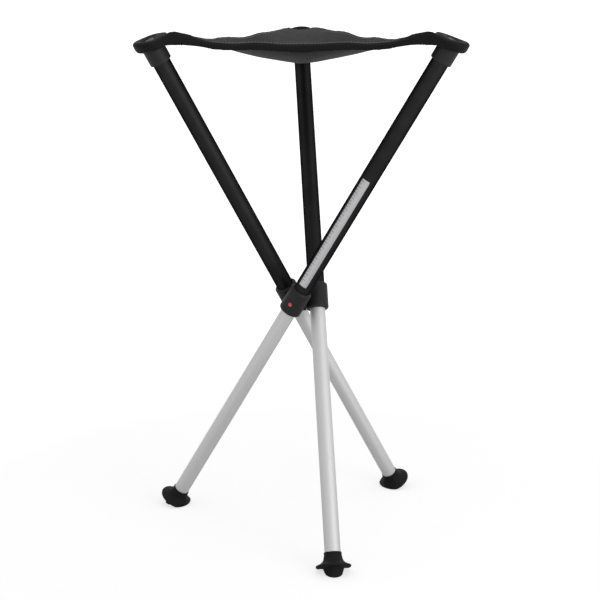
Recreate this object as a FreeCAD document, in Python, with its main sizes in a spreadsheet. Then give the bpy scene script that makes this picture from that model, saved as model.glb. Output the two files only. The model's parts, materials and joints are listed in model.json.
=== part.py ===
import FreeCAD, Part
import math
import os
import Sketcher
import types

# Three-legged folding stool with telescopic legs and a three-cornered cloth sling seat.
# The stool's axis is vertical, the floor is at zero and the front edge of the seat faces -Y.

Vector = FreeCAD.Vector
# Driving sizes in millimetres and degrees; each has its cell on the sheet
DRIVING = {
    # Legs: pivots on a circle round the axis, each leg leaning round that circle
    "pivot_radius": 24.8,
    "pivot_height": 357.3,
    "leg_lean": 31.42,
    "upper_reach": 463.8,
    "axis_trim": 1.3,
    "outer_radius": 13.0,
    "outer_wall": 1.0,
    "slide_gap": 0.25,
    "inner_wall": 1.5,
    "inner_overlap": 62,
    # Clearances
    "glue_gap": 0.05,
    "guide_gap": 0.06,
    "turn_gap": 0.05,
    "press_gap": 0.1,
    "cloth_gap": 0.3,
    "seam_gap": 0.15,
    # Collar at each pivot
    "collar_wall": 4.2,
    "collar_rise": 24.4,
    "collar_drop": 16.7,
    "collar_round": 3.5,
    "socket_floor": 6,
    "pad_inset": 0.7,
    "dish_radius": 5.8,
    "dish_depth": 0.8,
    # Lock button and the spring behind it
    "button_radius": 3.25,
    "button_flange_radius": 4.3,
    "button_flange_thick": 1.1,
    "button_inset": 3.2,
    "button_round": 0.6,
    "nose_radius": 3.0,
    "nose_gap": 0.1,
    "spring_thick": 0.8,
    "spring_width": 8,
    "spring_drop": 36,
    # Pivot pins, washers and hub
    "pin_radius": 3.0,
    "pin_head_radius": 5.0,
    "pin_head_thick": 1.3,
    "pin_head_cover": 2.9,
    "pin_grip": 5.0,
    "washer_radius": 7.0,
    "washer_thick": 0.8,
    "hub_tall": 30,
    "hub_round": 2.0,
    # Cap on the upper end of each leg and the plug in it
    "cap_wall": 3,
    "cap_drop": 34,
    "cap_lid": 4,
    "cap_round": 1.2,
    "plug_radius": 7.75,
    "plug_thick": 1.6,
    "plug_proud": 0.8,
    "stem_radius": 3.0,
    "stem_length": 9.0,
    # Cloth pocket over each cap
    "pocket_drop": 11.2,
    "pocket_wall": 6.9,
    "pocket_round": 6.0,
    "pocket_hem_round": 3.0,
    "pocket_lid": 4.5,
    # Sliding bush on the hidden end of the inner tube
    "bush_length": 14,
    "bush_rim": 5,
    "bush_bore": 7,
    # Rubber foot
    "foot_stand": 30.786,
    "foot_socket_deep": 16,
    "foot_wall": 1.25,
    "foot_flare": 1.4,
    "foot_neck_drop": 13,
    "brim_radius": 25.4,
    "brim_drop": 20.5,
    "brim_thick": 3.0,
    "sole_top_radius": 17.3,
    "sole_low_radius": 12.8,
    "sole_drop": 42,
    # Label strip
    "label_start": 35,
    "label_length": 194,
    "label_arc": 58,
    "label_thick": 0.25,
    "label_turn": 3.1,
    # Seat cloth and hem: heights are measured from the face of the plugs
    "cloth_thick": 2.5,
    "belly_drop": 37,
    "belly_slope": 0.2,
    "belly_round": 15,
    "cloth_sag": 4.5,
    "cloth_tuck": 1.0,
    "hem_thick": 3.0,
    "hem_start": 17,
    "hem_hump_at": 28,
    "hem_hump_spread": 38,
    "hem_hump_rise": 12,
    "hem_mid_top_drop": 4,
    "hem_fall_at": 40,
    "hem_corner_drop": 7,
    "hem_mid_drop": 19.4,
    "hem_corner_out": 20,
    "hem_bow": 8,
}

doc = FreeCAD.newDocument("folding_stool")
sheet = doc.addObject("Spreadsheet::Sheet", "Sizes")


class Size:
    """A number together with the expression that gives it in the document."""

    def __init__(self, value, text):
        self.value = value
        self.text = text

    def __add__(self, other):
        other = as_size(other)
        return Size(self.value + other.value, f"({self.text} + {other.text})")

    def __radd__(self, other):
        return as_size(other) + self

    def __sub__(self, other):
        other = as_size(other)
        return Size(self.value - other.value, f"({self.text} - {other.text})")

    def __rsub__(self, other):
        return as_size(other) - self

    def __mul__(self, other):
        other = as_size(other)
        return Size(self.value * other.value, f"({self.text} * {other.text})")

    def __rmul__(self, other):
        return as_size(other) * self

    def __truediv__(self, other):
        other = as_size(other)
        return Size(self.value / other.value, f"({self.text} / {other.text})")

    def __neg__(self):
        return Size(-self.value, f"(0 - {self.text})")


def as_size(number):
    """Takes a plain number as a size."""
    if isinstance(number, Size):
        return number
    return Size(float(number), f"{float(number):g}")


def sine(angle):
    return Size(math.sin(math.radians(angle.value)), f"sin({angle.text} * 1 deg)")


def cosine(angle):
    return Size(math.cos(math.radians(angle.value)), f"cos({angle.text} * 1 deg)")


def root(square):
    return Size(math.sqrt(square.value), f"sqrt({square.text})")


size = types.SimpleNamespace()
for row, (alias, value) in enumerate(DRIVING.items(), 1):
    sheet.set(f"A{row}", alias)
    sheet.set(f"B{row}", f"{value:g}")
    sheet.setAlias(f"B{row}", alias)
    setattr(size, alias, Size(value, f"Sizes.{alias}"))

doc.recompute()

lean_sine = sine(size.leg_lean)
lean_cosine = cosine(size.leg_lean)
outer_bore = size.outer_radius - size.outer_wall
inner_radius = size.outer_radius - size.outer_wall - size.slide_gap
collar_radius = size.outer_radius + size.collar_wall
pad_reach = collar_radius - size.pad_inset
button_seat = collar_radius - size.button_inset
cap_radius = size.outer_radius + size.cap_wall
pocket_radius = cap_radius + size.pocket_wall
foot_rim_radius = inner_radius + size.foot_wall
foot_neck_radius = foot_rim_radius + size.foot_flare
inner_bore = inner_radius - size.inner_wall
guide_radius = inner_radius + size.guide_gap
socket_radius = size.outer_radius + size.glue_gap
hub_face = size.pivot_radius - pad_reach - size.washer_thick
cap_start = size.upper_reach - size.cap_drop
cap_top = size.upper_reach - size.plug_thick + size.plug_proud - size.pocket_lid - size.glue_gap
tube_top = cap_top - size.cap_lid
upper_swing = size.upper_reach * lean_sine
corner_radius = root(size.pivot_radius * size.pivot_radius + upper_swing * upper_swing)
floor_reach = size.pivot_height / lean_cosine
floor_swing = floor_reach * lean_sine
foot_radius = root(size.pivot_radius * size.pivot_radius + floor_swing * floor_swing)
plug_height = size.pivot_height + size.upper_reach * lean_cosine
foot_rim_reach = floor_reach - size.foot_stand
foot_end = -foot_rim_reach - size.foot_socket_deep
sweep_angle = math.degrees(math.atan2(size.pivot_radius.value, upper_swing.value))

# The axis stands this far in front of the middle of the stool's outline
reach_difference = (corner_radius + pocket_radius) - (foot_radius + size.brim_radius)
axis_shift = (reach_difference / 2 + size.axis_trim).value

CORNERS = {number: 90.0 + 120.0 * (3 - number) for number in (1, 2, 3)}


def origin_plane(body, role):
    """Finds one of a body's own base planes."""
    return [item for item in body.Origin.OriginFeatures if item.Role == role][0]


def bind(item, prop, value):
    """Ties a property of an object to the sheet."""
    bound = as_size(value)
    setattr(item, prop, bound.value)
    item.setExpression(prop, bound.text)


def fix_point(sketch, geo, end, across, along):
    """Ties a point of the sketch to two sizes, or to an axis where a size is zero."""
    for number, kind, axis in ((across, "DistanceX", -2), (along, "DistanceY", -1)):
        if isinstance(number, Size):
            index = sketch.addConstraint(Sketcher.Constraint(kind, -1, 1, geo, end, number.value))
            sketch.renameConstraint(index, f"{kind}_{geo}_{end}")
            sketch.setExpression(f"Constraints.{kind}_{geo}_{end}", number.text)
        elif number == 0:
            sketch.addConstraint(Sketcher.Constraint("PointOnObject", geo, end, axis))
        else:
            sketch.addConstraint(Sketcher.Constraint(kind, -1, 1, geo, end, float(number)))


def new_sketch(body, name, role):
    sketch = body.newObject("Sketcher::SketchObject", name)
    sketch.AttachmentSupport = [(origin_plane(body, role), "")]
    sketch.MapMode = "FlatFace"
    return sketch


def outline(body, name, role, corners):
    """Draws a closed outline with straight sides through the corners."""
    sketch = new_sketch(body, name, role)
    spots = [Vector(as_size(a).value, as_size(b).value, 0) for a, b in corners]
    count = len(spots)
    for index in range(count):
        sketch.addGeometry(Part.LineSegment(spots[index], spots[(index + 1) % count]), False)
    for index in range(count):
        sketch.addConstraint(Sketcher.Constraint("Coincident", index, 2, (index + 1) % count, 1))
    for index, (across, along) in enumerate(corners):
        fix_point(sketch, index, 1, across, along)
    return sketch


def turned(body, name, corners, axis="V_Axis", kind="PartDesign::Revolution"):
    """Turns an outline in the X-Z plane round one of the sketch's axes."""
    sketch = outline(body, name + "_outline", "XZ_Plane", corners)
    feature = body.newObject(kind, name)
    feature.Profile = sketch
    feature.ReferenceAxis = (sketch, [axis])
    feature.Angle = 360
    sketch.Visibility = False
    doc.recompute()
    return feature


def cut_through(body, name, role, corners):
    """Cuts an outline away to both sides of its plane."""
    sketch = outline(body, name + "_outline", role, corners)
    before = body.Shape.Volume
    feature = body.newObject("PartDesign::Pocket", name)
    feature.Profile = sketch
    feature.Type = "ThroughAll"
    feature.Midplane = True
    doc.recompute()
    if body.Shape.Volume >= before:
        raise RuntimeError(f"{name} cuts nothing")
    return feature


def near_edges(shape, test):
    """Names the edges whose middle passes the test."""
    names = []
    for index, edge in enumerate(shape.Edges, start=1):
        middle = edge.valueAt((edge.FirstParameter + edge.LastParameter) / 2)
        if test(middle, edge):
            names.append(f"Edge{index}")
    return names


def rounded(body, name, radius, test):
    """Rounds the edges of the body that pass the test."""
    base = body.Tip
    feature = body.newObject("PartDesign::Fillet", name)
    feature.Base = (base, near_edges(base.Shape, test))
    bind(feature, "Radius", radius)
    doc.recompute()
    return feature


def new_body(label):
    body = doc.addObject("PartDesign::Body", label)
    body.Label = label
    return body


def leg_frame(number):
    """Pivot and axes of a leg: X outward, Z up along the leg."""
    outward = math.radians(CORNERS[number] - 90 + sweep_angle)
    along_x = Vector(math.cos(outward), math.sin(outward), 0)
    swing = Vector(-along_x.y, along_x.x, 0)
    along_z = swing * lean_sine.value + Vector(0, 0, 1) * lean_cosine.value
    along_y = along_z.cross(along_x)
    base = along_x * size.pivot_radius.value + Vector(0, -axis_shift, size.pivot_height.value)
    return FreeCAD.Placement(base, FreeCAD.Rotation(along_x, along_y, along_z, "ZXY"))


pieces = []


def on_axis(height):
    """Place on the stool's axis at a height above the floor."""
    return FreeCAD.Placement(Vector(0, -axis_shift, height), FreeCAD.Rotation())


def keep(item, label, placement):
    """Names a finished piece and stands it in its place."""
    item.Label = label
    item.Placement = placement
    pieces.append(item)


def make_outer_tube(number):
    body = new_body(f"outer_tube_{number}")
    start = size.socket_floor + size.glue_gap
    turned(body, f"outer_wall_{number}", [
        (outer_bore, start), (size.outer_radius, start), (size.outer_radius, tube_top),
        (outer_bore, tube_top)])
    keep(body, f"outer_tube_{number}", leg_frame(number))


def make_collar(number):
    body = new_body(f"collar_{number}")
    turned(body, f"collar_turned_{number}", [
        (guide_radius, -size.collar_drop), (collar_radius, -size.collar_drop),
        (collar_radius, size.collar_rise),
        (socket_radius, size.collar_rise), (socket_radius, size.socket_floor),
        (guide_radius, size.socket_floor)])
    rim = collar_radius.value
    rounded(body, f"collar_ends_{number}", size.collar_round,
            lambda spot, edge: math.hypot(spot.x, spot.y) > rim - 0.01 and edge.Closed)
    flat = pad_reach - size.turn_gap
    far = collar_radius * 2
    cut_through(body, f"collar_pad_{number}", "XZ_Plane", [
        (-flat, -far), (-flat, far), (-far, far), (-far, -far)])
    flange = size.button_flange_radius + size.press_gap
    flange_end = button_seat + size.button_flange_thick + size.press_gap
    hole = size.button_radius + size.press_gap
    mouth = collar_radius - size.dish_depth
    outside = collar_radius + size.dish_depth * 2
    turned(body, f"button_hole_{number}", [
        (inner_bore, 0), (inner_bore, flange), (flange_end, flange), (flange_end, hole),
        (mouth, hole), (outside, size.dish_radius * 1.5), (outside, 0)],
        axis="H_Axis", kind="PartDesign::Groove")
    head = size.pin_head_radius + size.turn_gap * 2
    shank = size.pin_radius + size.turn_gap
    head_floor = pad_reach - size.pin_head_cover
    turned(body, f"pin_hole_{number}", [
        (-inner_bore, 0), (-inner_bore, head), (-head_floor, head), (-head_floor, shank),
        (-outside, shank), (-outside, 0)], axis="H_Axis", kind="PartDesign::Groove")
    keep(body, f"collar_{number}", leg_frame(number))


def make_button(number):
    body = new_body(f"button_{number}")
    face = collar_radius - size.dish_depth
    shoulder = button_seat + size.button_flange_thick
    turned(body, f"button_turned_{number}", [
        (button_seat, 0), (button_seat, size.button_flange_radius),
        (shoulder, size.button_flange_radius),
        (shoulder, size.button_radius), (face, size.button_radius), (face, 0)], axis="H_Axis")
    outer_face = face.value
    rounded(body, f"button_edge_{number}", size.button_round,
            lambda spot, edge: spot.x > outer_face - 0.01 and edge.Closed)
    keep(body, f"button_{number}", leg_frame(number))


def make_top_cap(number):
    body = new_body(f"top_cap_{number}")
    stem = size.stem_radius + size.glue_gap
    roof = tube_top + size.glue_gap
    turned(body, f"top_cap_turned_{number}", [
        (socket_radius, cap_start), (cap_radius, cap_start), (cap_radius, cap_top),
        (stem, cap_top),
        (stem, roof), (socket_radius, roof)])
    rim = cap_radius.value
    rounded(body, f"top_cap_edges_{number}", size.cap_round,
            lambda spot, edge: math.hypot(spot.x, spot.y) > rim - 0.01 and edge.Closed)
    keep(body, f"top_cap_{number}", leg_frame(number))


def make_seat_plug(number):
    body = new_body(f"seat_plug_{number}")
    under = size.upper_reach - size.plug_thick
    low = under - size.stem_length
    turned(body, f"seat_plug_turned_{number}", [
        (0, low), (size.stem_radius, low), (size.stem_radius, under), (size.plug_radius, under),
        (size.plug_radius, size.upper_reach), (0, size.upper_reach)])
    rim = size.plug_radius.value
    top = size.upper_reach.value
    rounded(body, f"seat_plug_edge_{number}", size.plug_proud / 2,
            lambda spot, edge: spot.z > top - 0.01 and math.hypot(spot.x, spot.y) > rim - 0.01)
    keep(body, f"seat_plug_{number}", leg_frame(number))


def make_pocket(number):
    body = new_body(f"seat_pocket_{number}")
    inside = cap_radius + size.glue_gap
    low = size.upper_reach - size.pocket_drop
    ceiling = cap_top + size.glue_gap
    top = ceiling + size.pocket_lid - size.glue_gap * 2
    hole = size.stem_radius + size.glue_gap
    seat = size.plug_radius + size.glue_gap
    sunk = size.upper_reach - size.plug_thick - size.glue_gap
    turned(body, f"pocket_turned_{number}", [
        (inside, low), (pocket_radius, low), (pocket_radius, top + size.plug_thick),
        (seat, top + size.plug_thick),
        (seat, sunk), (hole, sunk), (hole, ceiling), (inside, ceiling)])
    rim = pocket_radius.value
    middle = (low.value + top.value) / 2
    rounded(body, f"pocket_shoulder_{number}", size.pocket_round,
            lambda spot, edge: math.hypot(spot.x, spot.y) > rim - 0.01 and edge.Closed and spot.z > middle)
    rounded(body, f"pocket_rim_{number}", size.pocket_hem_round,
            lambda spot, edge: math.hypot(spot.x, spot.y) > rim - 0.01 and edge.Closed and spot.z < middle)
    keep(body, f"seat_pocket_{number}", leg_frame(number))


def make_inner_tube(number):
    body = new_body(f"inner_tube_{number}")
    low = foot_end + size.glue_gap
    turned(body, f"inner_wall_{number}", [
        (inner_bore, low), (inner_radius, low), (inner_radius, size.inner_overlap),
        (inner_bore, size.inner_overlap)])
    hole = size.nose_radius + size.nose_gap
    turned(body, f"nose_hole_{number}", [
        (inner_bore / 2, 0), (inner_bore / 2, hole), (size.outer_radius, hole), (size.outer_radius, 0)],
        axis="H_Axis", kind="PartDesign::Groove")
    keep(body, f"inner_tube_{number}", leg_frame(number))


def make_bush(number):
    body = new_body(f"inner_bush_{number}")
    rim = outer_bore - size.turn_gap
    plug = inner_bore - size.turn_gap
    seat = size.inner_overlap + size.turn_gap
    turned(body, f"bush_turned_{number}", [
        (size.bush_bore, size.inner_overlap - size.bush_length),
        (plug, size.inner_overlap - size.bush_length), (plug, seat),
        (rim, seat), (rim, seat + size.bush_rim), (size.bush_bore, seat + size.bush_rim)])
    keep(body, f"inner_bush_{number}", leg_frame(number))


def make_lock_spring(number):
    """Bent strip inside the inner tube that pushes the nose out behind the button."""
    body = new_body(f"lock_spring_{number}")
    near = inner_bore - size.spring_thick * 2
    top = size.nose_radius + size.spring_thick
    bend = size.spring_thick * 1.2
    strip = outline(body, f"spring_strip_{number}", "XZ_Plane", [
        (near - size.spring_thick, top), (near - size.spring_thick, -size.nose_radius),
        (-bend / 2, -size.spring_drop),
        (-near + size.spring_thick, top), (-near, top), (-bend, -size.spring_drop - bend),
        (bend, -size.spring_drop - bend), (near, -size.nose_radius), (near, top)])
    pad = body.newObject("PartDesign::Pad", f"spring_pad_{number}")
    pad.Profile = strip
    bind(pad, "Length", size.spring_width)
    pad.Midplane = True
    doc.recompute()
    tip = button_seat - size.glue_gap
    turned(body, f"spring_nose_{number}", [
        (near - size.spring_thick, 0), (near - size.spring_thick, size.nose_radius),
        (tip, size.nose_radius), (tip, 0)], axis="H_Axis")
    rounded(body, f"nose_edge_{number}", size.button_round,
            lambda spot, edge: spot.x > tip.value - 0.01 and edge.Closed)
    keep(body, f"lock_spring_{number}", leg_frame(number))


def make_foot(number):
    """Rubber foot with a brim, cut flat where it stands on the floor."""
    body = new_body(f"foot_{number}")
    rim = -foot_rim_reach
    bore = inner_radius + size.glue_gap
    brim_top = rim - size.brim_drop
    brim_low = brim_top - size.brim_thick
    tip = size.brim_radius - size.brim_thick / 2
    turned(body, f"foot_turned_{number}", [
        (0, foot_end), (bore, foot_end), (bore, rim), (foot_rim_radius, rim),
        (foot_neck_radius, rim - size.foot_neck_drop), (tip, brim_top),
        (size.brim_radius, brim_top - size.brim_thick / 2),
        (tip, brim_low), (size.sole_top_radius, brim_low),
        (size.sole_low_radius, rim - size.sole_drop), (0, rim - size.sole_drop)])
    reach = size.brim_radius * 1.5
    cut_through(body, f"foot_floor_{number}", "YZ_Plane", [
        (-reach, (-reach * lean_sine - size.pivot_height) / lean_cosine),
        (reach, (reach * lean_sine - size.pivot_height) / lean_cosine),
        (reach, -floor_reach - reach * 2), (-reach, -floor_reach - reach * 2)])
    keep(body, f"foot_{number}", leg_frame(number))


def make_pin(number):
    body = new_body(f"pivot_pin_{number}")
    head_in = pad_reach - size.pin_head_cover - size.turn_gap
    tip = size.pivot_radius - hub_face + size.pin_grip
    turned(body, f"pin_turned_{number}", [
        (size.pin_head_thick - head_in, 0), (size.pin_head_thick - head_in, size.pin_head_radius),
        (-head_in, size.pin_head_radius), (-head_in, size.pin_radius), (-tip, size.pin_radius),
        (-tip, 0)], axis="H_Axis")
    keep(body, f"pivot_pin_{number}", leg_frame(number))


def make_washer(number):
    """Ring between the collar's pad and the hub's face."""
    disc = doc.addObject("Part::Cylinder", f"washer_disc_{number}")
    hole = doc.addObject("Part::Cylinder", f"washer_hole_{number}")
    bind(disc, "Radius", size.washer_radius)
    bind(hole, "Radius", size.pin_radius + size.glue_gap)
    bind(disc, "Height", size.washer_thick)
    bind(hole, "Height", size.washer_thick)
    ring = doc.addObject("Part::Cut", f"pivot_washer_{number}")
    ring.Base = disc
    ring.Tool = hole
    turn = FreeCAD.Rotation(Vector(0, 1, 0), -90)
    seat = FreeCAD.Placement(Vector(-pad_reach.value, 0, 0), turn)
    keep(ring, f"pivot_washer_{number}", leg_frame(number).multiply(seat))


def make_hub():
    """Three-sided block that carries the pivot pins."""
    body = new_body("hub_block")
    corners = []
    spots = []
    for index in range(3):
        angle = CORNERS[index + 1] - 90 + sweep_angle + 180
        spots.append((index, angle))
    for index, angle in sorted(spots, key=lambda pair: pair[1] % 360):
        reach = hub_face * 2
        corners.append((reach * math.cos(math.radians(angle)), reach * math.sin(math.radians(angle))))
    sketch = outline(body, "hub_outline", "XY_Plane", corners)
    pad = body.newObject("PartDesign::Pad", "hub_pad")
    pad.Profile = sketch
    bind(pad, "Length", size.hub_tall)
    pad.Midplane = True
    doc.recompute()
    rounded(body, "hub_corners", size.hub_round, lambda spot, edge: abs(spot.z) < 0.01)
    for number in CORNERS:
        angle = math.radians(CORNERS[number] - 90 + sweep_angle)
        socket = doc.addObject("Part::Cylinder", f"pin_socket_{number}")
        bind(socket, "Radius", size.pin_radius + size.glue_gap)
        bind(socket, "Height", size.pin_grip + size.glue_gap + hub_face)
        turn = FreeCAD.Rotation(Vector(0, 0, 1), Vector(math.cos(angle), math.sin(angle), 0))
        inner = (hub_face - size.pin_grip - size.glue_gap).value
        socket.Placement = FreeCAD.Placement(Vector(math.cos(angle), math.sin(angle), 0) * inner, turn)
    sockets = doc.addObject("Part::MultiFuse", "pin_sockets")
    sockets.Shapes = [doc.getObject(f"pin_socket_{number}") for number in CORNERS]
    hub = doc.addObject("Part::Cut", "hub_with_sockets")
    hub.Base = body
    hub.Tool = sockets
    keep(hub, "hub_core", on_axis(size.pivot_height.value))


def make_label():
    """Bare strip stuck along the outer tube of leg 1."""
    strip = doc.addObject("Part::Cylinder", "label_outside")
    inside = doc.addObject("Part::Cylinder", "label_inside")
    bind(strip, "Radius", size.outer_radius + size.glue_gap + size.label_thick)
    bind(inside, "Radius", size.outer_radius + size.glue_gap)
    bind(strip, "Height", size.label_length)
    bind(inside, "Height", size.label_length)
    bind(strip, "Angle", size.label_arc)
    label = doc.addObject("Part::Cut", "label_strip")
    label.Base = strip
    label.Tool = inside
    turn = FreeCAD.Rotation(Vector(0, 0, 1), (size.label_turn - size.label_arc / 2).value)
    seat = FreeCAD.Placement(Vector(0, 0, size.label_start.value), turn)
    keep(label, "label_strip", leg_frame(1).multiply(seat))


half_edge = corner_radius.value * math.cos(math.radians(30))


def hem_out(along):
    """How far the hem's outer face stands out from the line between two corners."""
    share = (1 - along / half_edge) ** 2.2
    return -size.hem_bow.value + (size.hem_corner_out + size.hem_bow).value * share


def hem_top(along):
    bump = 1 / (1 + (abs(along - size.hem_hump_at.value) / size.hem_hump_spread.value) ** 3.2)
    rise = (size.hem_hump_rise + size.hem_mid_top_drop).value
    return plug_height.value - size.hem_mid_top_drop.value + rise * bump


def hem_low(along):
    share = max(0.0, (along - size.hem_fall_at.value) / (half_edge - size.hem_fall_at.value))
    fall = (size.hem_mid_drop - size.hem_corner_drop).value * (1 - (1 - share) ** 1.8)
    return plug_height.value - size.hem_corner_drop.value - fall


def cloth_under(radius):
    """Height of the cloth's underside on the line from a corner to the middle."""
    rise = math.sqrt(radius ** 2 + size.belly_round.value ** 2) - size.belly_round.value
    return plug_height.value - size.belly_drop.value + size.belly_slope.value * rise


def edge_point(along, out, height, corner, side):
    """A point beside the edge that leaves a corner, on the side of the next corner or the last."""
    base = corner_radius.value
    x = base - along * math.cos(math.radians(30)) + out * 0.5
    y = side * (along * 0.5 + out * math.cos(math.radians(30)))
    turn = math.radians(CORNERS[corner])
    return Vector(x * math.cos(turn) - y * math.sin(turn), x * math.sin(turn) + y * math.cos(turn), height)


def stations():
    """Places along half an edge where the cloth's section is drawn."""
    first = size.hem_start.value
    last = half_edge - size.seam_gap.value
    return [first + (last - first) * share for share in (0, 0.08, 0.18, 0.34, 0.52, 0.7, 0.87, 1)]


def closed_wire(spots, sag):
    """Closed four-sided section; its long sides sag."""
    low_in, low_out, high_out, high_in = spots
    down = Vector(0, 0, -sag)
    low = Part.Arc(low_in, (low_in + low_out) * 0.5 + down, low_out).toShape()
    high = Part.Arc(high_out, (high_out + high_in) * 0.5 + down, high_in).toShape()
    return Part.Wire([low, Part.makeLine(low_out, high_out), high, Part.makeLine(high_in, low_in)])


def leg_clearance(corner):
    """Round space kept clear of the cloth about the pocket on a leg."""
    frame = leg_frame(corner)
    frame.Base = frame.Base + Vector(0, axis_shift, 0)
    reach = pocket_radius.value + size.cloth_gap.value
    base = Vector(0, 0, (size.upper_reach - size.cap_drop).value)
    space = Part.makeCylinder(reach, size.cap_drop.value * 3, base)
    space.Placement = frame
    return space


def make_seat_panel(corner, side, letter):
    """One half of the cloth between a corner, the middle of an edge and the middle of the seat."""
    wires = []
    for along in stations():
        inner = -along * math.tan(math.radians(30)) + size.seam_gap.value / math.cos(math.radians(30))
        radius = max(0.0, corner_radius.value - along / math.cos(math.radians(30)))
        outer = hem_out(along) - size.hem_thick.value - size.seam_gap.value / 3
        low_in = cloth_under(radius)
        thick = size.cloth_thick.value
        low_out = hem_top(along) - thick - size.cloth_tuck.value
        spots = [edge_point(along, inner, low_in, corner, side), edge_point(along, outer, low_out, corner, side),
                 edge_point(along, outer, low_out + thick, corner, side),
                 edge_point(along, inner, low_in + thick, corner, side)]
        wires.append(closed_wire(spots, size.cloth_sag.value * along / half_edge))
    panel = Part.makeLoft(wires, True, False).cut(leg_clearance(corner))
    feature = doc.addObject("Part::Feature", f"seat_cloth_{corner}{letter}")
    feature.Shape = panel
    keep(feature, f"seat_cloth_{corner}{letter}", on_axis(0))


def make_hem(corner, side, letter):
    """Half of the band along one edge of the seat."""
    wires = []
    for along in stations():
        out = hem_out(along)
        inside = out - size.hem_thick.value
        low = hem_low(along)
        top = hem_top(along)
        spots = [edge_point(along, inside, low, corner, side), edge_point(along, out, low, corner, side),
                 edge_point(along, out, top, corner, side), edge_point(along, inside, top, corner, side)]
        wires.append(Part.makePolygon(spots + [spots[0]]))
    band = Part.makeLoft(wires, True, False).cut(leg_clearance(corner))
    feature = doc.addObject("Part::Feature", f"seat_hem_{corner}{letter}")
    feature.Shape = band
    keep(feature, f"seat_hem_{corner}{letter}", on_axis(0))


make_hub()
for leg in CORNERS:
    make_outer_tube(leg)
    make_top_cap(leg)
    make_seat_plug(leg)
    make_collar(leg)
    make_pocket(leg)
    make_pin(leg)
    make_washer(leg)
    make_inner_tube(leg)
    make_bush(leg)
    make_lock_spring(leg)
    make_button(leg)
    make_foot(leg)
    make_seat_panel(leg, 1, "a")
    make_seat_panel(leg, -1, "b")
    make_hem(leg, 1, "a")
    make_hem(leg, -1, "b")
make_label()
doc.recompute()

for item in doc.Objects:
    if "Invalid" in item.State or "Error" in item.State:
        raise RuntimeError(f"{item.Name} failed: {item.State}")
for piece in pieces:
    if piece.Shape.isNull() or not piece.Shape.isValid():
        raise RuntimeError(f"{piece.Label} is not a valid shape")
    if len(piece.Shape.Solids) != 1:
        raise RuntimeError(f"{piece.Label} has {len(piece.Shape.Solids)} solids")

os.makedirs("parts", exist_ok=True)
for piece in pieces:
    piece.Shape.exportStep(f"parts/{piece.Label}.step")
print(f"{len(pieces)} pieces written")
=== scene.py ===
"""Telescopic three-legged stool: seat cloth, feet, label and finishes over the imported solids."""
import json
import logging
import math
from dataclasses import dataclass, field
from enum import Enum
from typing import Callable

import bpy
from mathutils import Matrix, Vector, noise


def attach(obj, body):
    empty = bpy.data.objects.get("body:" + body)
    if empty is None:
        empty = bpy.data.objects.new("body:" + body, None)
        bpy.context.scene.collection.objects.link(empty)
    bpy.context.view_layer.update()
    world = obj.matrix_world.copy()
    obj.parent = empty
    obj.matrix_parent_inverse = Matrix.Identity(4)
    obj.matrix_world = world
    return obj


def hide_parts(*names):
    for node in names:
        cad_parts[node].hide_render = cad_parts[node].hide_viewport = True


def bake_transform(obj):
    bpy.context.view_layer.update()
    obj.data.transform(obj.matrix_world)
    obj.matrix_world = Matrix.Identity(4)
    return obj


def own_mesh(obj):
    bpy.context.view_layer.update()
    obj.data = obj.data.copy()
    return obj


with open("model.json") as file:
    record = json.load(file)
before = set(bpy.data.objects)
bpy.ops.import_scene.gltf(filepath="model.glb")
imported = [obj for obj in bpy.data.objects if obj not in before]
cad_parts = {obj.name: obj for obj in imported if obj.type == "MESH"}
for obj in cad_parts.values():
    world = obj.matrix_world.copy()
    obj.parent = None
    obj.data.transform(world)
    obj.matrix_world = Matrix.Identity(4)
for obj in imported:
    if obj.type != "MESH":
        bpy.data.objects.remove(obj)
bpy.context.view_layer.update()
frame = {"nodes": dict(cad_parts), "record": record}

logging.basicConfig(level=logging.INFO, format="%(message)s")
log = logging.getLogger("stool")


class Side(Enum):
    """Which half of a corner a seat panel covers."""

    NEXT = "a"
    LAST = "b"


class Leg(Enum):
    """The legs, with the azimuth in degrees of the seat corner that each carries."""

    RIGHT = (1, -30.0)
    LEFT = (2, 210.0)
    BACK = (3, 90.0)

    @property
    def number(self) -> int:
        """Number of the leg in the solids' names."""
        return self.value[0]

    @property
    def corner(self) -> float:
        """Azimuth of the leg's seat corner in degrees."""
        return self.value[1]


@dataclass(frozen=True)
class Plan:
    """Lay-out of the legs, in metres and degrees."""

    pivot_radius: float = 0.0248
    pivot_height: float = 0.3573
    lean: float = 31.42
    upper_reach: float = 0.4638
    axis_y: float = -0.011739

    @property
    def corner_radius(self) -> float:
        """Distance from the stool's axis to the face of a leg's plug."""
        return math.hypot(self.pivot_radius, self.upper_reach * math.sin(math.radians(self.lean)))

    @property
    def plug_height(self) -> float:
        """Height of the plugs' faces."""
        return self.pivot_height + self.upper_reach * math.cos(math.radians(self.lean))

    @property
    def sweep(self) -> float:
        """Degrees by which a leg's swing departs from its corner's azimuth."""
        swing = self.upper_reach * math.sin(math.radians(self.lean))
        return math.degrees(math.atan2(self.pivot_radius, swing))

    def leg_matrix(self, leg: Leg) -> Matrix:
        """Frame of a leg: origin at its pivot, X outwards, Z up along the leg.

        Args:
            leg: The leg.

        Returns:
            The matrix from the leg's frame to the row's.
        """
        azimuth = math.radians(leg.corner - 90 + self.sweep)
        out = Vector((math.cos(azimuth), math.sin(azimuth), 0))
        swing = Vector((-out.y, out.x, 0))
        lean = math.radians(self.lean)
        up = swing * math.sin(lean) + Vector((0, 0, math.cos(lean)))
        across = up.cross(out)
        matrix = Matrix((out, across, up)).transposed().to_4x4()
        matrix.translation = out * self.pivot_radius + Vector((0, self.axis_y, self.pivot_height))
        return matrix

    def corner_matrix(self, leg: Leg) -> Matrix:
        """Frame of a seat corner: the stool's axis is its Z and X points to the corner."""
        return Matrix.Translation((0, self.axis_y, 0)) @ Matrix.Rotation(math.radians(leg.corner), 4, "Z")


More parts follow.
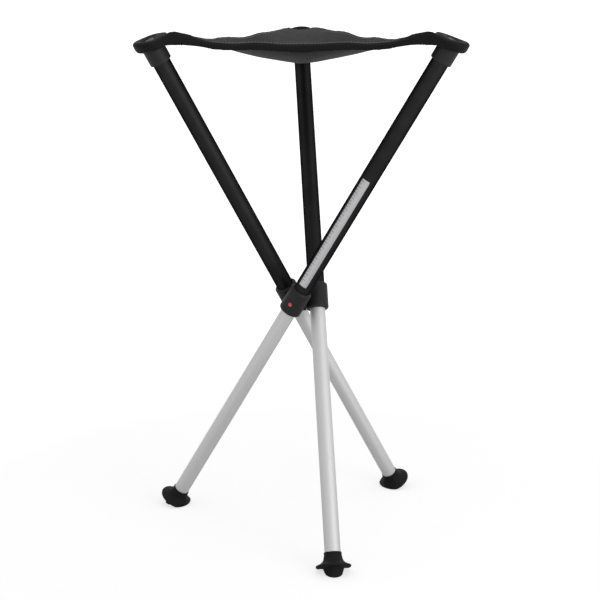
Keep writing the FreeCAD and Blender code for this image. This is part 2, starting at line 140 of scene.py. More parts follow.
PLAN = Plan()
COS_30 = math.cos(math.radians(30))
TAN_30 = math.tan(math.radians(30))


def clamp(value: float) -> float:
    """Keeps a value between 0 and 1."""
    return min(1.0, max(0.0, value))


def fade(distance: float, full: float, width: float, power: float = 2.0) -> float:
    """Share that is 1 up to a distance and dies away over a width past it."""
    return math.exp(-(max(0.0, distance - full) / width) ** power)


def linear(hexadecimal: str) -> tuple[float, float, float, float]:
    """Turns an sRGB hex colour to linear RGBA.

    Args:
        hexadecimal: Colour such as "#1c1c1d".

    Returns:
        Linear red, green, blue and alpha.
    """
    values = [int(hexadecimal[i:i + 2], 16) / 255 for i in (1, 3, 5)]
    return (*(v / 12.92 if v <= 0.04045 else ((v + 0.055) / 1.055) ** 2.4 for v in values), 1.0)


def set_sockets(tree: bpy.types.NodeTree, node: bpy.types.Node, **inputs: object) -> None:
    """Sets or links a node's own sockets.

    Args:
        tree: The node's tree.
        node: The node.
        **inputs: Values, or the sockets to link; spaces in a name are underscores, _0 is the first socket.
    """
    for name, value in inputs.items():
        key = int(name[1:]) if name[0] == "_" else name.replace("_", " ")
        if isinstance(value, bpy.types.NodeSocket):
            tree.links.new(value, node.inputs[key])
        else:
            node.inputs[key].default_value = value


def add_node(tree: bpy.types.NodeTree, kind: str, settings: dict | None = None,
             **inputs: object) -> bpy.types.Node:
    """Adds a shader node with its settings, socket values and links.

    Args:
        tree: The material's or world's node tree.
        kind: Node type, without the words that all shader nodes' types start with.
        settings: Properties of the node itself.
        **inputs: As in set_sockets.

    Returns:
        The new node.
    """
    made = tree.nodes.new(f"ShaderNode{kind}")
    for name, value in (settings or {}).items():
        setattr(made, name, value)
    set_sockets(tree, made, **inputs)
    return made


def new_material(name: str) -> tuple[bpy.types.Material, bpy.types.NodeTree, bpy.types.Node]:
    """Starts a material.

    Args:
        name: The material's name.

    Returns:
        The material, its tree and its Principled shader.
    """
    material = bpy.data.materials.new(name)
    material.use_nodes = True
    tree = material.node_tree
    return material, tree, tree.nodes["Principled BSDF"]


def along_leg(tree: bpy.types.NodeTree, leg: Leg) -> bpy.types.NodeSocket:
    """Adds object coordinates turned so that their Z runs along a leg.

    Args:
        tree: The material's tree.
        leg: The leg.

    Returns:
        The turned coordinates.
    """
    turn = PLAN.leg_matrix(leg).to_3x3().inverted().to_euler()
    place = add_node(tree, "TexCoord").outputs["Object"]
    return add_node(tree, "Mapping", Vector=place, Rotation=turn).outputs["Vector"]


@dataclass(frozen=True)
class BlackCoatedTube:
    """Black anodised aluminium with a satin seal: dark grey with a broad soft highlight along the tube."""

    name: str = "black_anodised_tube"
    colour: str = "#303031"
    rubbed: str = "#373738"
    edge: str = "#3a3a3b"
    roughness: float = 0.52
    grain: float = 0.0009
    marks_per_metre: float = 28.0

    def build(self, leg: Leg) -> bpy.types.Material:
        """Builds the finish with its drawing lines laid along one leg.

        Args:
            leg: The leg whose tube takes it.

        Returns:
            The material.
        """
        material, tree, shader = new_material(f"{self.name}_{leg.number}")
        along = along_leg(tree, leg)
        # lines of the draw die, 0.9 mm apart and long along the tube
        lines = add_node(tree, "Mapping", Vector=along, Scale=(1, 1, 0.02)).outputs["Vector"]
        drawn = add_node(tree, "TexNoise", Vector=lines, Scale=1 / self.grain, Detail=3.0)
        # handling marks, a few centimetres across
        patch = add_node(tree, "TexNoise", Vector=along, Scale=self.marks_per_metre, Detail=4.0)
        blend = add_node(tree, "MapRange", Value=patch.outputs["Fac"], From_Min=0.42, From_Max=0.7)
        tone = add_node(tree, "Mix", {"data_type": "RGBA"}, _0=blend.outputs["Result"],
                        _6=linear(self.colour), _7=linear(self.rubbed))
        gloss = add_node(tree, "MapRange", Value=drawn.outputs["Fac"],
                         To_Min=self.roughness - 0.05, To_Max=self.roughness + 0.08)
        bump = add_node(tree, "Bump", Height=drawn.outputs["Fac"], Distance=0.00003, Strength=0.5)
        # the dye takes the mirror out of the metal's edges too
        set_sockets(tree, shader, Base_Color=tone.outputs[2], Roughness=gloss.outputs["Result"],
                    Normal=bump.outputs["Normal"], Metallic=1.0, Specular_Tint=linear(self.edge))
        return material


@dataclass(frozen=True)
class SilverAnodisedTube:
    """Clear anodised aluminium, etched matt first: a soft silver, faintly brushed along its length."""

    name: str = "silver_anodised_tube"
    colour: str = "#e6e6e7"
    roughness: float = 0.64
    grain: float = 0.0007

    def build(self, leg: Leg) -> bpy.types.Material:
        """Builds the finish with its brushing laid along one leg.

        Args:
            leg: The leg whose tube takes it.

        Returns:
            The material.
        """
        material, tree, shader = new_material(f"{self.name}_{leg.number}")
        # brushing 0.7 mm apart, drawn coarser than the real 0.1 mm so that it shows
        lines = add_node(tree, "Mapping", Vector=along_leg(tree, leg), Scale=(1, 1, 0.015)).outputs["Vector"]
        brushed = add_node(tree, "TexNoise", Vector=lines, Scale=1 / self.grain, Detail=4.0)
        gloss = add_node(tree, "MapRange", Value=brushed.outputs["Fac"],
                         To_Min=self.roughness - 0.06, To_Max=self.roughness + 0.10)
        bump = add_node(tree, "Bump", Height=brushed.outputs["Fac"], Distance=0.00002, Strength=0.4)
        set_sockets(tree, shader, Base_Color=linear(self.colour), Metallic=1.0,
                    Roughness=gloss.outputs["Result"], Normal=bump.outputs["Normal"])
        return material


@dataclass(frozen=True)
class MouldedPlastic:
    """Injection-moulded plastic with a spark-eroded grain: soft speckle in the gloss and fine pits."""

    name: str
    colour: str
    worn: str
    roughness: float = 0.42
    grain: float = 0.0008
    depth: float = 0.00004
    clouds_per_metre: float = 60.0
    ior: float = 1.53
    specular: float = 0.28

    def build(self) -> bpy.types.Material:
        """Builds the finish.

        Returns:
            The material.
        """
        material, tree, shader = new_material(self.name)
        place = add_node(tree, "TexCoord").outputs["Object"]
        # grain of the mould, 0.8 mm apart, drawn coarser than the real 0.2 mm so that it shows
        pits = add_node(tree, "TexNoise", Vector=place, Scale=1 / self.grain, Detail=3.0)
        cloud = add_node(tree, "TexNoise", Vector=place, Scale=self.clouds_per_metre, Detail=3.0)
        edges = add_node(tree, "NewGeometry").outputs["Pointiness"]
        rub = add_node(tree, "MapRange", Value=edges, From_Min=0.52, From_Max=0.62)
        share = add_node(tree, "Math", {"operation": "MULTIPLY"}, _0=rub.outputs["Result"],
                         _1=cloud.outputs["Fac"])
        tone = add_node(tree, "Mix", {"data_type": "RGBA"}, _0=share.outputs["Value"],
                        _6=linear(self.colour), _7=linear(self.worn))
        gloss = add_node(tree, "MapRange", Value=cloud.outputs["Fac"],
                         To_Min=self.roughness - 0.06, To_Max=self.roughness + 0.08)
        bump = add_node(tree, "Bump", Height=pits.outputs["Fac"], Distance=self.depth, Strength=0.6)
        set_sockets(tree, shader, Base_Color=tone.outputs[2], Roughness=gloss.outputs["Result"],
                    Normal=bump.outputs["Normal"], IOR=self.ior, Specular_IOR_Level=self.specular)
        return material


@dataclass(frozen=True)
class ZincSteel:
    """Bright zinc-plated steel: bluish grey metal with faint mottling."""

    name: str = "zinc_plated_steel"
    colour: str = "#b9bcc0"
    roughness: float = 0.34
    crystals_per_metre: float = 400.0

    def build(self) -> bpy.types.Material:
        """Builds the finish.

        Returns:
            The material.
        """
        material, tree, shader = new_material(self.name)
        place = add_node(tree, "TexCoord").outputs["Object"]
        # crystals of the plating, 2.5 mm apart
        mottle = add_node(tree, "TexVoronoi", Vector=place, Scale=self.crystals_per_metre)
        gloss = add_node(tree, "MapRange", Value=mottle.outputs["Distance"],
                         To_Min=self.roughness - 0.06, To_Max=self.roughness + 0.1)
        set_sockets(tree, shader, Base_Color=linear(self.colour), Metallic=1.0,
                    Roughness=gloss.outputs["Result"])
        return material


@dataclass(frozen=True)
class SeatFabric:
    """Black polyester: plain weave at hem and corners, open mesh in the middle, stitched along the hem."""

    name: str = "black_polyester_seat"
    colour: str = "#121213"
    mesh_colour: str = "#171718"
    thread: str = "#5a5a5d"
    weave: float = 0.0012
    hole: float = 0.0040
    mesh_from: float = 0.0078
    stitch: float = 0.0045
    stitch_rows: tuple[float, float] = (0.0026, 0.0068)
    sewn_from: float = 0.070
    roughness: float = 0.62
    specular: float = 0.2
    sheen: float = 0.04

    def build(self) -> bpy.types.Material:
        """Builds the cloth; it reads the panels' own map and their inward and along attributes.

        Returns:
            The material.
        """
        material, tree, shader = new_material(self.name)
        sheet = add_node(tree, "UVMap", {"uv_map": "cloth"}).outputs["UV"]
        inward = add_node(tree, "Attribute", {"attribute_name": "inward"}).outputs["Fac"]
        along = add_node(tree, "Attribute", {"attribute_name": "along"}).outputs["Fac"]
        in_mesh = add_node(tree, "MapRange", Value=inward, From_Min=self.mesh_from,
                           From_Max=self.mesh_from + 0.001).outputs["Result"]
        # plain weave: two crossed waves, 1.2 mm a thread, drawn coarser than the real 0.5 mm
        warp, weft = (add_node(tree, "TexWave", {"bands_direction": way}, Vector=sheet,
                               Scale=math.pi / 10 / self.weave).outputs["Fac"] for way in "XY")
        plain = add_node(tree, "Math", {"operation": "MULTIPLY"}, _0=warp, _1=weft)
        # mesh: round holes 4 mm apart, drawn coarser than the real 2 mm so that they show
        cells = add_node(tree, "TexVoronoi", {"voronoi_dimensions": "2D"}, Vector=sheet,
                         Scale=1 / self.hole, Randomness=0.12)
        thread = add_node(tree, "MapRange", Value=cells.outputs["Distance"], From_Min=0.24, From_Max=0.42)
        height = add_node(tree, "Mix", {"data_type": "FLOAT"}, _0=in_mesh, _2=plain.outputs["Value"],
                          _3=thread.outputs["Result"])
        # two rows of stitches along the hem's upper fold, 4.5 mm a stitch, starting off the corner
        beat = add_node(tree, "Math", {"operation": "PINGPONG"}, _0=along, _1=self.stitch / 2)
        dash = add_node(tree, "MapRange", Value=beat.outputs["Value"], From_Min=0.0003, From_Max=0.0007)
        rows = []
        for place in self.stitch_rows:
            gap = add_node(tree, "Math", {"operation": "SUBTRACT"}, _0=inward, _1=place)
            off = add_node(tree, "Math", {"operation": "ABSOLUTE"}, _0=gap.outputs["Value"])
            rows.append(add_node(tree, "MapRange", Value=off.outputs["Value"], From_Min=0.0010,
                                 From_Max=0.0005).outputs["Result"])
        either = add_node(tree, "Math", {"operation": "MAXIMUM"}, _0=rows[0], _1=rows[1])
        begun = add_node(tree, "MapRange", Value=along, From_Min=self.sewn_from,
                         From_Max=self.sewn_from + 0.03)
        line = add_node(tree, "Math", {"operation": "MULTIPLY"}, _0=either.outputs["Value"],
                        _1=begun.outputs["Result"])
        sewn = add_node(tree, "Math", {"operation": "MULTIPLY"}, _0=line.outputs["Value"],
                        _1=dash.outputs["Result"]).outputs["Value"]
        cloth = add_node(tree, "Mix", {"data_type": "RGBA"}, _0=in_mesh, _6=linear(self.colour),
                         _7=linear(self.mesh_colour))
        # painted shade and highlight: the cloth's colour is scaled from 0.15 in the mesh's holes and the
        # weave's hollows to 1.5 on the threads' tops, standing in for light on the relief
        relief_shade_and_highlight = add_node(tree, "MapRange", Value=height.outputs[0], To_Min=0.15, To_Max=1.5)
        shaded = add_node(tree, "VectorMath", {"operation": "SCALE"}, _0=cloth.outputs[2],
                          Scale=relief_shade_and_highlight.outputs["Result"])
        tone = add_node(tree, "Mix", {"data_type": "RGBA"}, _0=sewn, _6=shaded.outputs["Vector"],
                        _7=linear(self.thread))
        relief = add_node(tree, "Math", {"operation": "ADD"}, _0=height.outputs[0], _1=sewn)
        bump = add_node(tree, "Bump", Height=relief.outputs["Value"], Distance=0.00025, Strength=0.7)
        set_sockets(tree, shader, Base_Color=tone.outputs[2], Normal=bump.outputs["Normal"],
                    Roughness=self.roughness, Sheen_Weight=self.sheen, Sheen_Roughness=0.45,
                    Specular_IOR_Level=self.specular)
        return material


@dataclass(frozen=True)
class ScaleStrip:
    """Silver polyester film with plain tick marks, read from the strip's own map."""

    name: str = "silver_tick_strip"
    colour: str = "#cfcfd1"
    tick: str = "#3c3d3f"
    tick_thick: float = 0.0006
    ticks: tuple[tuple[float, float], ...] = ((0.005, 0.0032), (0.010, 0.0055))
    scuffs_per_metre: float = 220.0

    def build(self) -> bpy.types.Material:
        """Builds the strip's finish.

        Returns:
            The material.
        """
        material, tree, shader = new_material(self.name)
        strip = add_node(tree, "UVMap", {"uv_map": "strip"}).outputs["UV"]
        parts = add_node(tree, "SeparateXYZ", Vector=strip)
        marks = []
        # short ticks every 5 mm and long ones every 10 mm, all 0.6 mm thick
        for spacing, reach in self.ticks:
            beat = add_node(tree, "Math", {"operation": "PINGPONG"}, _0=parts.outputs["Y"], _1=spacing / 2)
            line = add_node(tree, "Math", {"operation": "LESS_THAN"}, _0=beat.outputs["Value"],
                            _1=self.tick_thick / 2)
            near = add_node(tree, "Math", {"operation": "LESS_THAN"}, _0=parts.outputs["X"], _1=reach)
            marks.append(add_node(tree, "Math", {"operation": "MULTIPLY"}, _0=line.outputs["Value"],
                                  _1=near.outputs["Value"]).outputs["Value"])
        printed = add_node(tree, "Math", {"operation": "MAXIMUM"}, _0=marks[0], _1=marks[1])
        tone = add_node(tree, "Mix", {"data_type": "RGBA"}, _0=printed.outputs["Value"],
                        _6=linear(self.colour), _7=linear(self.tick))
        place = add_node(tree, "TexCoord").outputs["Object"]
        scuff = add_node(tree, "TexNoise", Vector=place, Scale=self.scuffs_per_metre, Detail=3.0)
        gloss = add_node(tree, "MapRange", Value=scuff.outputs["Fac"], To_Min=0.3, To_Max=0.48)
        set_sockets(tree, shader, Base_Color=tone.outputs[2], Roughness=gloss.outputs["Result"],
                    Metallic=0.85)
        return material


@dataclass(frozen=True)
class WhitePaper:
    """Seamless white paper that keeps a faint shadow near the stool; its glow for mirrored rays is weaker
    there, a painted shade of the floor that the tubes reflect.
    """

    name: str = "white_paper"
    albedo: float = 0.42
    glow: float = 0.672
    far_glow: float = 1.0
    mirrored: tuple[float, float] = (0.24, 0.70)
    near: float = 0.55
    far: float = 1.5

    def build(self) -> bpy.types.Material:
        """Builds the paper: part of its white is a glow for the camera and for mirrored rays alone.

        Returns:
            The material.
        """
        material, tree, shader = new_material(self.name)
        set_sockets(tree, shader, Base_Color=(self.albedo, self.albedo, self.albedo, 1), Roughness=1.0,
                    Specular_IOR_Level=0.0)
        place = add_node(tree, "TexCoord").outputs["Object"]
        away = add_node(tree, "VectorMath", {"operation": "LENGTH"}, _0=place)
        level = add_node(tree, "MapRange", Value=away.outputs["Value"], From_Min=self.near,
                         From_Max=self.far, To_Min=self.glow, To_Max=self.far_glow)
        path = add_node(tree, "LightPath")
        # painted shade for reflections: mirrored rays see a glow that rises from 0.24 near the stool to 0.70
        # far out, standing in for the floor shaded under and around the stool
        fade = add_node(tree, "MapRange", Value=away.outputs["Value"], From_Min=self.near / 2,
                        From_Max=self.far, To_Min=self.mirrored[0], To_Max=self.mirrored[1])
        mirrored = add_node(tree, "Math", {"operation": "MULTIPLY"}, _0=path.outputs["Is Glossy Ray"],
                            _1=fade.outputs["Result"])
        seen = add_node(tree, "Math", {"operation": "MAXIMUM"}, _0=path.outputs["Is Camera Ray"],
                        _1=mirrored.outputs["Value"])
        strength = add_node(tree, "Math", {"operation": "MULTIPLY"}, _0=seen.outputs["Value"],
                            _1=level.outputs["Result"])
        glow = add_node(tree, "Emission", Color=(1, 1, 1, 1), Strength=strength.outputs["Value"])
        both = add_node(tree, "AddShader", _0=shader.outputs["BSDF"], _1=glow.outputs["Emission"])
        set_sockets(tree, tree.nodes["Material Output"], Surface=both.outputs["Shader"])
        return material


def through(knots: tuple[tuple[float, float], ...], at: float) -> float:
    """Reads a smooth curve through knots.

    Args:
        knots: Positions, rising, each with its value.
        at: The position to read.

    Returns:
        The value there, and beyond the ends the end's own.
    """
    if at <= knots[0][0]:
        return knots[0][1]
    if at >= knots[-1][0]:
        return knots[-1][1]
    index = max(i for i in range(len(knots) - 1) if knots[i][0] <= at)

    def slope(i: int) -> float:
        """Slope of the curve at a knot, from its neighbours."""
        low, high = max(0, i - 1), min(len(knots) - 1, i + 1)
        return (knots[high][1] - knots[low][1]) / (knots[high][0] - knots[low][0])

    (left, start), (right, end) = knots[index], knots[index + 1]
    span = right - left
    t = (at - left) / span
    return ((2 * t ** 3 - 3 * t ** 2 + 1) * start + (t ** 3 - 2 * t ** 2 + t) * span * slope(index)
            + (3 * t ** 2 - 2 * t ** 3) * end + (t ** 3 - t ** 2) * span * slope(index + 1))


def begin_piece(name: str) -> None:
    """Clears the selection before a piece is modelled."""
    if bpy.context.object and bpy.context.object.mode != "OBJECT":
        bpy.ops.object.mode_set(mode="OBJECT")
    bpy.ops.object.select_all(action="DESELECT")
    log.info("modelling %s", name)


def named(name: str) -> bpy.types.Object:
    """Names the active object and its mesh, and returns it."""
    piece = bpy.context.object
    piece.name = name
    piece.data.name = name
    return piece


def select_only(*pieces: bpy.types.Object) -> None:
    """Selects some pieces and nothing else, and makes the last one active."""
    bpy.ops.object.select_all(action="DESELECT")
    for piece in pieces:
        piece.select_set(True)
    bpy.context.view_layer.objects.active = pieces[-1]


def edit_whole(piece: bpy.types.Object) -> None:
    """Opens a piece for editing with all of its mesh selected."""
    select_only(piece)
    bpy.ops.object.mode_set(mode="EDIT")
    bpy.ops.mesh.select_all(action="SELECT")


def extrude_rings(name: str, rings: list[tuple[float, float]], round_end: bool = False) -> bpy.types.Object:
    """Models a round shell by extruding a circle of 96 points ring by ring, and leaves it being edited.

    Args:
        name: Name of the object.
        rings: Radius and height of each ring.
        round_end: Whether the last ring is drawn in to a point.

    Returns:
        The shell, all of it selected.
    """
    (radius, height), *others = rings
    bpy.ops.mesh.primitive_circle_add(vertices=96, radius=radius, location=(0, 0, height))
    shell = named(name)
    shell.data.transform(Matrix.Translation(shell.location))
    shell.location = (0, 0, 0)
    bpy.ops.object.mode_set(mode="EDIT")
    bpy.ops.mesh.select_all(action="SELECT")
    for wide, tall in others:
        bpy.ops.mesh.extrude_region_move(TRANSFORM_OT_translate={"value": (0, 0, tall - height)})
        bpy.ops.transform.resize(value=(wide / radius, wide / radius, 1), center_override=(0, 0, tall))
        radius, height = wide, tall
    if round_end:
        bpy.ops.mesh.extrude_region_move()
        bpy.ops.transform.resize(value=(0.5, 0.5, 1), center_override=(0, 0, height))
        bpy.ops.mesh.extrude_region_move()
        bpy.ops.mesh.merge(type="CENTER")
    bpy.ops.mesh.select_all(action="SELECT")
    return shell


def apply_modifier(piece: bpy.types.Object, kind: str, **settings: object) -> None:
    """Adds a modifier and applies it at once.

    Args:
        piece: The object.
        kind: Modifier type.
        **settings: The modifier's settings.
    """
    select_only(piece)
    modifier = piece.modifiers.new(kind.title(), kind)
    for name, value in settings.items():
        setattr(modifier, name, value)
    bpy.ops.object.modifier_apply(modifier=modifier.name)


def copy_piece(piece: bpy.types.Object, name: str, matrix: Matrix) -> bpy.types.Object:
    """Copies a piece with a mesh of its own, its place in the mesh.

    Args:
        piece: The piece to copy.
        name: Name of the copy.
        matrix: Where the copy goes.

    Returns:
        The copy.
    """
    copy = piece.copy()
    copy.data = piece.data.copy()
    copy.name = name
    copy.data.name = name
    bpy.context.scene.collection.objects.link(copy)
    copy.matrix_world = Matrix.Identity(4)
    copy.data.transform(matrix)
    return copy


def smooth(piece: bpy.types.Object, degrees: float = 35.0) -> None:
    """Shades a piece smooth, with its sharper edges kept."""
    select_only(piece)
    bpy.ops.object.shade_smooth_by_angle(angle=math.radians(degrees))


def dress(piece: bpy.types.Object, material: bpy.types.Material) -> None:
    """Gives a whole piece one material."""
    piece.data.materials.clear()
    piece.data.materials.append(material)


@dataclass
class SlingSeat:
    """Three-cornered cloth seat: a shallow cone of mesh in a stiff hem, wrapped over the leg tops."""

    cloth: SeatFabric = field(default_factory=SeatFabric)
    cloth_thick: float = 0.0026
    belly_drop: float = 0.0370
    belly_slope: float = 0.2
    belly_round: float = 0.015
    edge_pull: float = 0.028
    # how far below the hem's upper edge the cloth joins it
    tuck: float = 0.0004
    hem_thick: float = 0.0032
    hem_start: float = 0.012
    hem_width: float = 0.006
    # the hem's upper part leans in and its middle swells
    hem_lean: float = 0.0045
    hem_swell: float = 0.0012
    # heights of the hem's two edges against the plugs' faces, by the distance from the corner
    top_knots: tuple[tuple[float, float], ...] = (
        (0.0, -0.002), (0.012, 0.001), (0.020, 0.0035), (0.030, 0.0052), (0.043, 0.0058),
        (0.060, 0.0052), (0.080, 0.0040), (0.104, 0.0028), (0.126, 0.0010), (0.160, -0.0012),
        (0.185, -0.0034), (0.215, -0.0040))
    low_knots: tuple[tuple[float, float], ...] = (
        (0.0, -0.0090), (0.023, -0.0082), (0.046, -0.0070), (0.064, -0.0068), (0.082, -0.0070),
        (0.092, -0.0076), (0.116, -0.0096), (0.147, -0.0124), (0.180, -0.0156), (0.215, -0.0178))
    # how much lower the front edge's lower side hangs, by the distance from its nearer corner
    deep_knots: tuple[tuple[float, float], ...] = (
        (0.046, 0.0), (0.064, -0.0020), (0.082, -0.0050), (0.092, -0.0063), (0.116, -0.0058),
        (0.147, -0.0023), (0.180, -0.0010), (0.215, -0.0017))
    # how much higher the front edge stands, by the distance from its nearer corner
    front_knots: tuple[tuple[float, float], ...] = (
        (0.010, 0.0), (0.016, 0.0012), (0.0225, 0.0040), (0.0295, 0.0074), (0.0376, 0.0074),
        (0.0445, 0.0058), (0.0514, 0.0042), (0.0582, 0.0025), (0.065, -0.0004), (0.0719, -0.0026),
        (0.0787, -0.0042), (0.0856, -0.0052), (0.100, -0.0058), (0.116, -0.0058), (0.147, -0.0016),
        (0.180, -0.0006), (0.215, 0.0))
    # how much higher the two back edges hang, by the place across the stool
    back_knots: tuple[tuple[float, float], ...] = (
        (-0.150, -0.0010), (-0.136, -0.0020), (-0.128, -0.0010), (-0.1215, 0.0010), (-0.115, 0.0022),
        (-0.108, 0.0030), (-0.101, 0.0029), (-0.094, 0.0023), (-0.087, 0.0020), (-0.0795, 0.0022),
        (-0.072, 0.0026), (-0.065, 0.0031), (-0.0575, 0.0028), (-0.050, 0.0017), (-0.042, 0.0013),
        (-0.0346, 0.0010), (-0.027, 0.0018), (-0.019, 0.0036), (-0.008, 0.0034), (0.003, 0.0034),
        (0.0135, 0.0044), (0.0214, 0.0042), (0.0293, 0.0030), (0.0371, 0.0030), (0.0448, 0.0030),
        (0.0524, 0.0036), (0.060, 0.0054), (0.067, 0.0061), (0.0746, 0.0059), (0.082, 0.0046),
        (0.089, 0.0030), (0.096, 0.0023), (0.103, 0.0024), (0.110, 0.0026), (0.117, 0.0010),
        (0.1236, -0.0006), (0.130, -0.0016), (0.137, -0.0025), (0.152, -0.0012))
    # how far inside its edge the drape of each kind is full, and the width over which it fades
    front_drape: tuple[float, float] = (-0.004, 0.024)
    back_drape: tuple[float, float] = (0.010, 0.030)
    corner_out: float = 0.020
    bow: float = 0.008
    roll_bore: float = 0.0162
    roll_low: float = 0.4553
    roll_radius: float = 0.020
    roll_tilt: float = 0.0045
    roll_lip: float = 0.0066
    plug_hole: float = 0.0080
    split_inset: float = 0.046
    patch: float = 0.022
    # the cloth goes a little past an edge's middle, where it is cut
    overrun: float = 0.006
    voxel: float = 0.0012
    steps_along: int = 110
    steps_across: int = 26
    hem_steps: int = 12
    # creases that fan out from a corner and a fold across them: height, distance from the corner, width
    fan: tuple[float, float, float] = (0.0006, 0.062, 0.038)
    across: tuple[float, float, float] = (0.0008, 0.136, 0.016)
    # soft unevenness, coarse and fine: height, and waves in a metre
    drift: tuple[float, float] = (0.0007, 18.0)
    fine: tuple[float, float] = (0.00025, 55.0)
    # nearer to a leg's axis than this the cloth is the roll, plain and without stitches
    roll_reach: float = 0.0268
    plain_inward: float = 0.0048
    # faces whose normal rises less than this take their map from the edge, not from above
    steep_below: float = 0.55

    @property
    def half_edge(self) -> float:
        """Length from a corner to the middle of an edge."""
        return PLAN.corner_radius * COS_30

    def hem_out(self, along: float) -> float:
        """How far the hem's outer face stands out from the line between two corners."""
        share = max(0.0, 1 - along / self.half_edge) ** 2.2
        return -self.bow + (self.corner_out + self.bow) * share

    def hem_top(self, along: float) -> float:
        """Height of the hem's upper edge."""
        return PLAN.plug_height + through(self.top_knots, along)

    def hem_low(self, along: float) -> float:
        """Height of the hem's lower edge."""
        return PLAN.plug_height + through(self.low_knots, along)

    def cone(self, radius: float) -> float:
        """Height of the cloth at a distance from the stool's axis, away from its edges."""
        rise = math.sqrt(radius ** 2 + self.belly_round ** 2) - self.belly_round
        return PLAN.plug_height - self.belly_drop + self.belly_slope * rise

    def cloth_height(self, along: float, out: float) -> float:
        """Height of the cloth's middle surface beside an edge.

        Args:
            along: Distance from the corner along the edge.
            out: Distance outwards from the edge's line.

        Returns:
            The height: a cone that its taut edges pull up to the hem.
        """
        edge = self.hem_out(along) - self.hem_thick / 2
        at_edge = self.edge_point(along, edge, 0, 1)
        here = self.edge_point(along, out, 0, 1)
        lift = self.hem_top(along) - self.cloth_thick / 2 - self.tuck - self.cone(at_edge.length)
        return self.cone(here.length) + lift * fade(edge - out, 0.0, self.edge_pull, 1.4)

    def edge_point(self, along: float, out: float, height: float, way: int) -> Vector:
        """A point beside the edge that leaves the corner, in the corner's frame.

        Args:
            along: Distance from the corner along the edge.
            out: Distance outwards from the edge's line.
            height: Height above the floor.
            way: 1 on the side of the next corner, -1 on that of the last.

        Returns:
            The point.
        """
        return Vector((PLAN.corner_radius - along * COS_30 + out * 0.5, way * (along * 0.5 + out * COS_30),
                       height))

    def add_grid(self, name: str, columns: int, rows: int, place: Callable[[float, float], Vector],
                 thickness: float) -> bpy.types.Object:
        """Models a sheet from a grid whose points are set one by one, then thickened.

        Args:
            name: Name of the object.
            columns: Faces along.
            rows: Faces across.
            place: Gives the point at two shares from 0 to 1.
            thickness: Thickness about the sheet's middle.

        Returns:
            The sheet.
        """
        bpy.ops.object.select_all(action="DESELECT")
        bpy.ops.mesh.primitive_grid_add(x_subdivisions=columns, y_subdivisions=rows, size=2)
        sheet = named(name)
        for vertex in sheet.data.vertices:
            vertex.co = place((vertex.co.x + 1) / 2, (vertex.co.y + 1) / 2)
        apply_modifier(sheet, "SOLIDIFY", thickness=thickness, offset=0.0)
        return sheet

    def make_sector(self) -> bpy.types.Object:
        """Models the cloth about one corner, from the middle of one edge to the middle of the other.

        Returns:
            The sector, in the corner's frame.
        """
        begin_piece("seat sector")
        sheets = []
        span = self.half_edge + self.overrun - self.hem_start
        for way in (1, -1):
            def cloth_place(u: float, v: float, way: int = way) -> Vector:
                """A point of the cloth's middle surface.

                Args:
                    u: Share of the way from the corner to the edge's middle.
                    v: Share of the way from the corner's own middle line to the hem.
                    way: The side of the corner, as in edge_point.

                Returns:
                    The point.
                """
                along = self.hem_start + span * u
                near = min(along, self.half_edge)
                inner = -near * TAN_30 - (0.002 if v == 0 else 0)
                outer = self.hem_out(near) - self.hem_thick / 2
                out = inner + (outer - inner) * v
                return self.edge_point(along, out, self.cloth_height(near, out), way)

            def hem_place(u: float, v: float, way: int = way) -> Vector:
                """A point of the hem's middle surface, its upper part leaning in.

                Args:
                    u: Share of the way from the corner to the edge's middle.
                    v: Share of the way from the lower to the upper edge.
                    way: The side of the corner, as in edge_point.

                Returns:
                    The point.
                """
                along = self.hem_start + span * u
                near = min(along, self.half_edge)
                low = self.hem_low(near) + 0.0008
                high = self.hem_top(near) - 0.0010
                lean = max(0.0, (v - 0.6) / 0.4) ** 1.7 * self.hem_lean * min(1.0, near / 0.1)
                swell = math.sin(math.pi * v) * self.hem_swell
                out = self.hem_out(near) - self.hem_thick / 2 - lean + swell
                return self.edge_point(along, out, low + (high - low) * v, way)

            sheets.append(self.add_grid("cloth_sheet", self.steps_along, self.steps_across, cloth_place,
                                        self.cloth_thick))
            sheets.append(self.add_grid("hem_sheet", self.steps_along, self.hem_steps, hem_place,
                                        self.hem_thick))
        sheets.append(self.make_roll())
        select_only(*sheets)
        bpy.ops.object.join()
        sector = named("seat_sector")
        apply_modifier(sector, "REMESH", mode="VOXEL", voxel_size=self.voxel, adaptivity=0.0)
        apply_modifier(sector, "SMOOTH", factor=0.5, iterations=8)
        return sector

    def make_roll(self) -> bpy.types.Object:
        """Models the cloth rolled over the top of a leg by extruding its section ring by ring.

        Returns:
            The roll, in the corner's frame.
        """
        bpy.ops.object.select_all(action="DESELECT")
        low = self.roll_low
        rings = [(self.roll_bore, low + 0.0006), (0.0202, low), (0.0224, low + 0.0010),
                 (0.0237, low + 0.0030), (0.0241, low + 0.0053), (0.0238, low + 0.0076),
                 (0.0218, low + 0.0095), (0.0180, low + 0.0102), (0.0140, low + 0.0100),
                 (0.0108, low + 0.0095), (0.0090, low + 0.0089), (self.plug_hole, low + 0.0080),
                 (self.plug_hole, low + 0.0042), (self.roll_bore, low + 0.0042),
                 (self.roll_bore, low + 0.0006)]
        roll = extrude_rings("corner_roll", rings)
        bpy.ops.mesh.remove_doubles(threshold=0.00001)
        bpy.ops.mesh.normals_make_consistent(inside=False)
        bpy.ops.object.mode_set(mode="OBJECT")
        # towards the seat the lower rim runs down to the hem and the top sinks; outwards the top rises
        for vertex in roll.data.vertices:
            radius = vertex.co.to_2d().length
            inner = (1 - vertex.co.y / radius) / 2
            under = clamp(1 - (vertex.co.z - low) / 0.0064)
            over = clamp((vertex.co.z - low - 0.0045) / 0.003)
            vertex.co.z -= 2 * self.roll_tilt * under * inner
            vertex.co.z -= over * inner * (0.0006 + 0.5 * max(0.0, radius - 0.0165))
            vertex.co.z += over * (1 - inner) ** 2 * self.roll_lip * clamp((radius - 0.010) / 0.006)
        roll.data.transform(PLAN.corner_matrix(Leg.BACK).inverted() @ PLAN.leg_matrix(Leg.BACK))
        return roll

